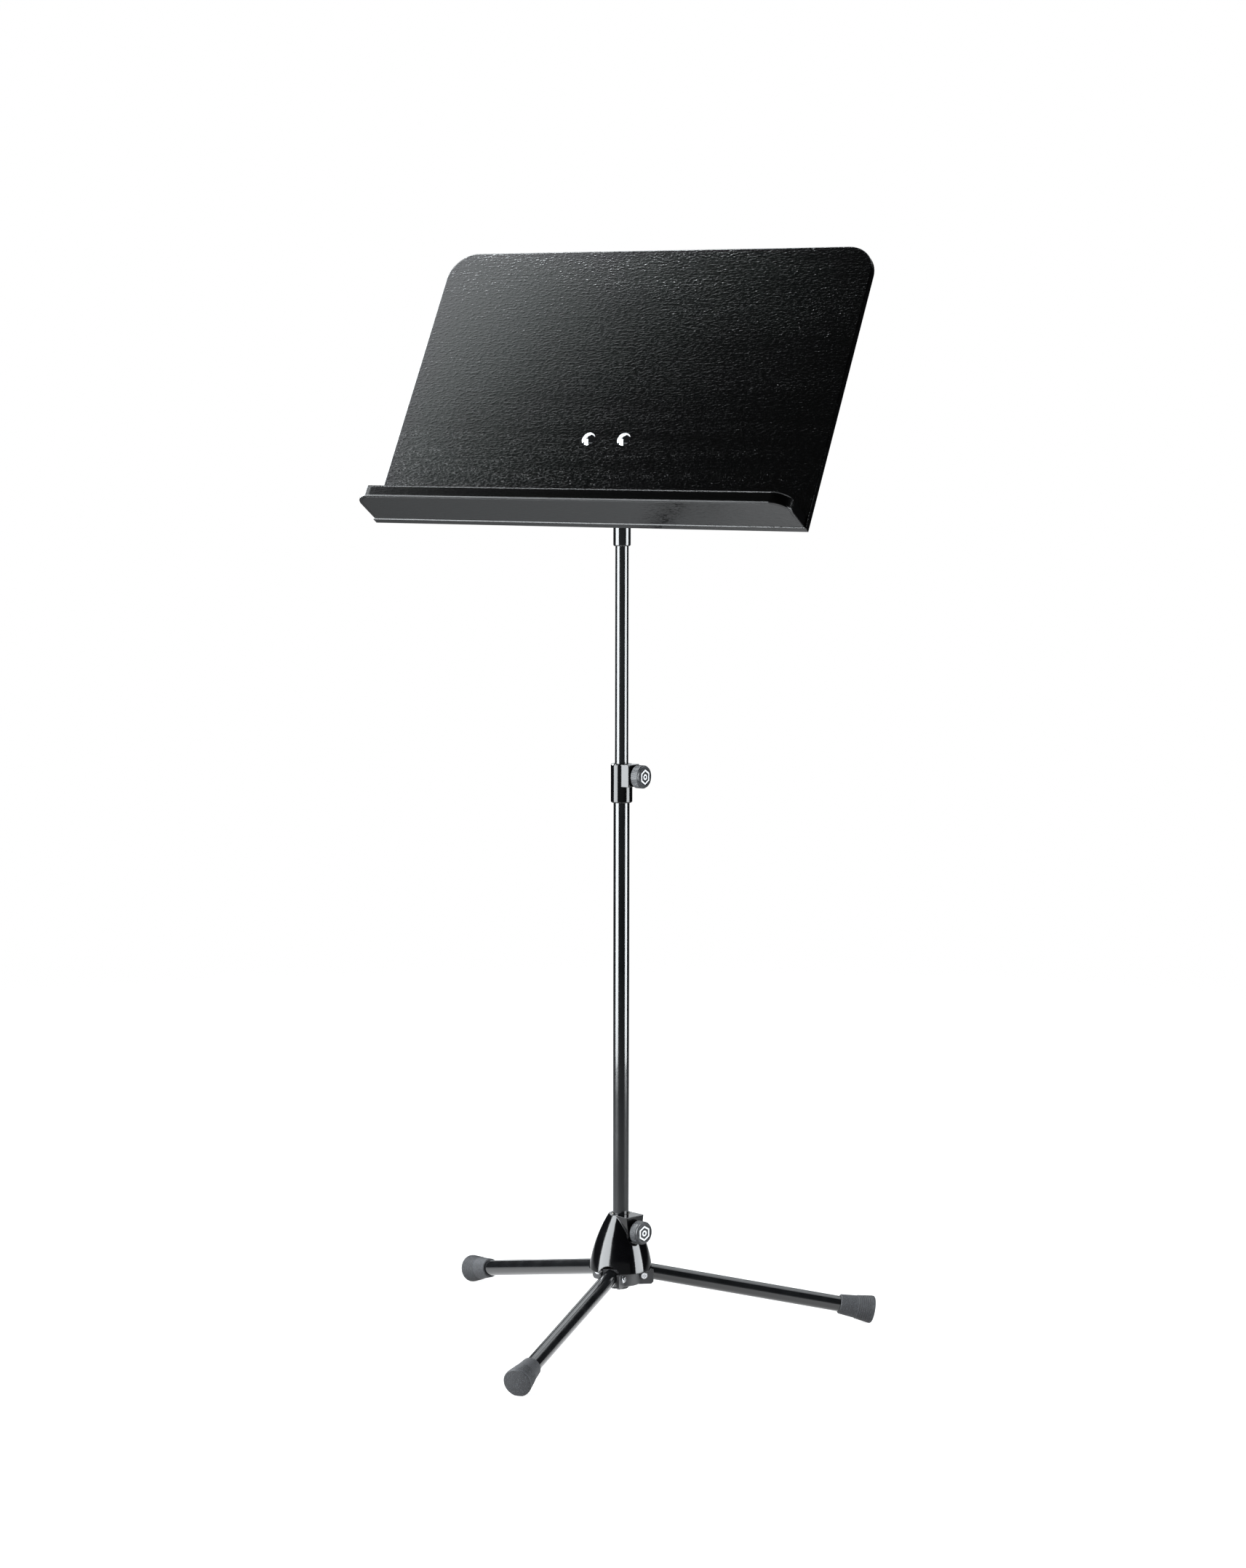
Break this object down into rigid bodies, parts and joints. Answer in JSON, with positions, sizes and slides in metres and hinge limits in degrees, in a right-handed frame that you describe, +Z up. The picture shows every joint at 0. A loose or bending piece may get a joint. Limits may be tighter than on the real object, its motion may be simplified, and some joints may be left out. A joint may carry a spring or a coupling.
{
  "type": "music stand",
  "caption": "Height-adjustable music stand: wooden desk with ledge on a swivel and tilt joint, telescopic steel column, folding tripod under a sliding bell.",
  "frame": {"origin": "on the floor under the column's axis", "axes": "+Z up along the column, desk width along X, desk faces -Y"},
  "size_m": [0.5456, 0.4782, 1.222],
  "materials": {
    "stained_wood": "satin black stain over open-pored wood grain",
    "lip_black": "satin black stained edge band",
    "gloss_black": "gloss black powder coat on steel tube",
    "satin_black": "satin black coat on steel",
    "bell_black": "gloss black coat on die-cast zinc",
    "black_plastic": "matt black moulded plastic",
    "knob_black": "matt dark grey moulded plastic with ribs",
    "knob_cover": "satin black disc with a plain silver ring",
    "foot_rubber": "matt dark grey rubber",
    "nylon": "natural white nylon",
    "zinc_steel": "bright zinc plated steel",
    "bright_chrome": "bright plated dome heads",
    "brass": "machined brass"
  },
  "bodies": {
    "column": {"lower_tube": "gloss_black", "tube_end_plug": "black_plastic", "clamp_sleeve": "gloss_black", "rod_liner": "nylon", "leg_spider": "satin_black", "spider_pin": "zinc_steel", "leg_pivot_screws": "zinc_steel", "leg_pivot_nuts": "zinc_steel"},
    "guide": {"guide_bush": "nylon"},
    "rod": {"upper_rod": "gloss_black", "rod_end_plug": "zinc_steel", "rod_circlip": "zinc_steel", "tilt_head": "gloss_black", "head_pin": "zinc_steel"},
    "desk": {"desk_board": "stained_wood", "desk_ledge": "stained_wood", "ledge_lip": "lip_black", "ledge_screws": "zinc_steel", "coach_bolts": "bright_chrome", "bolt_washers": "zinc_steel", "bolt_nuts": "zinc_steel", "tilt_bracket": "satin_black", "tilt_bolt": "zinc_steel", "friction_washers": "nylon", "disc_springs": "zinc_steel", "tilt_locknut": "zinc_steel"},
    "column_pad": {"column_thrust_pad": "brass"},
    "column_clamp": {"column_screw": "zinc_steel", "column_knob": "knob_black", "column_knob_cover": "knob_cover"},
    "bell": {"bell_housing": "bell_black", "bell_bush": "nylon"},
    "bell_pad": {"bell_thrust_pad": "brass"},
    "bell_clamp": {"bell_screw": "zinc_steel", "bell_knob": "knob_black", "bell_knob_cover": "knob_cover"},
    "front_leg": {"front_leg_fitting": "satin_black", "front_leg_tube": "gloss_black", "front_leg_foot_cap": "foot_rubber"},
    "right_leg": {"right_leg_fitting": "satin_black", "right_leg_tube": "gloss_black", "right_leg_foot_cap": "foot_rubber"},
    "left_leg": {"left_leg_fitting": "satin_black", "left_leg_tube": "gloss_black", "left_leg_foot_cap": "foot_rubber"}
  },
  "joints": [
    {"name": "rod_slide", "type": "slide", "parent": "column", "child": "guide", "axis": [0, 0, 1], "range_m": [-0.24, 0.23]},
    {"name": "rod_swivel", "type": "hinge", "parent": "guide", "child": "rod", "pos_m": [0, 0, 0.34], "axis": [0, 0, 1], "continuous": true},
    {"name": "desk_tilt", "type": "hinge", "parent": "rod", "child": "desk", "pos_m": [0, 0, 1], "axis": [1, 0, 0], "range_deg": [-59, 30]},
    {"name": "column_pad_slide", "type": "slide", "parent": "column", "child": "column_pad", "axis": [0.9903, -0.1392, 0], "range_m": [0, 0.0026]},
    {"name": "column_knob_turn", "type": "hinge", "parent": "column_pad", "child": "column_clamp", "pos_m": [0, 0, 0.6368], "axis": [0.9903, -0.1392, 0], "range_deg": [0, 720]},
    {"name": "front_leg_fold", "type": "hinge", "parent": "column", "child": "front_leg", "pos_m": [0.00261, -0.02486, 0.0665], "axis": [-0.9945, -0.1045, 0], "range_deg": [0, 97.5]},
    {"name": "right_leg_fold", "type": "hinge", "parent": "column", "child": "right_leg", "pos_m": [0.02022, 0.01469, 0.0665], "axis": [0.5878, -0.809, 0], "range_deg": [0, 97.6]},
    {"name": "left_leg_fold", "type": "hinge", "parent": "column", "child": "left_leg", "pos_m": [-0.02284, 0.01017, 0.0665], "axis": [0.4067, 0.9135, 0], "range_deg": [0, 97.6]},
    {"name": "bell_slide", "type": "slide", "parent": "column", "child": "bell", "axis": [0, 0, 1], "range_m": [0, 0.282]},
    {"name": "bell_pad_slide", "type": "slide", "parent": "bell", "child": "bell_pad", "axis": [0.9511, -0.309, 0], "range_m": [0, 0.0026]},
    {"name": "bell_knob_turn", "type": "hinge", "parent": "bell_pad", "child": "bell_clamp", "pos_m": [0, 0, 0.1195], "axis": [0.9511, -0.309, 0], "range_deg": [0, 720]}
  ],
  "couplings": [
    {"joint": "right_leg_fold", "follows": "front_leg_fold", "ratio": 1},
    {"joint": "left_leg_fold", "follows": "front_leg_fold", "ratio": 1},
    {"joint": "bell_slide", "follows": "front_leg_fold", "m_per_rad": 0.165},
    {"joint": "column_pad_slide", "follows": "column_knob_turn", "m_per_rad": 0.00019894},
    {"joint": "bell_pad_slide", "follows": "bell_knob_turn", "m_per_rad": 0.00019894}
  ]
}
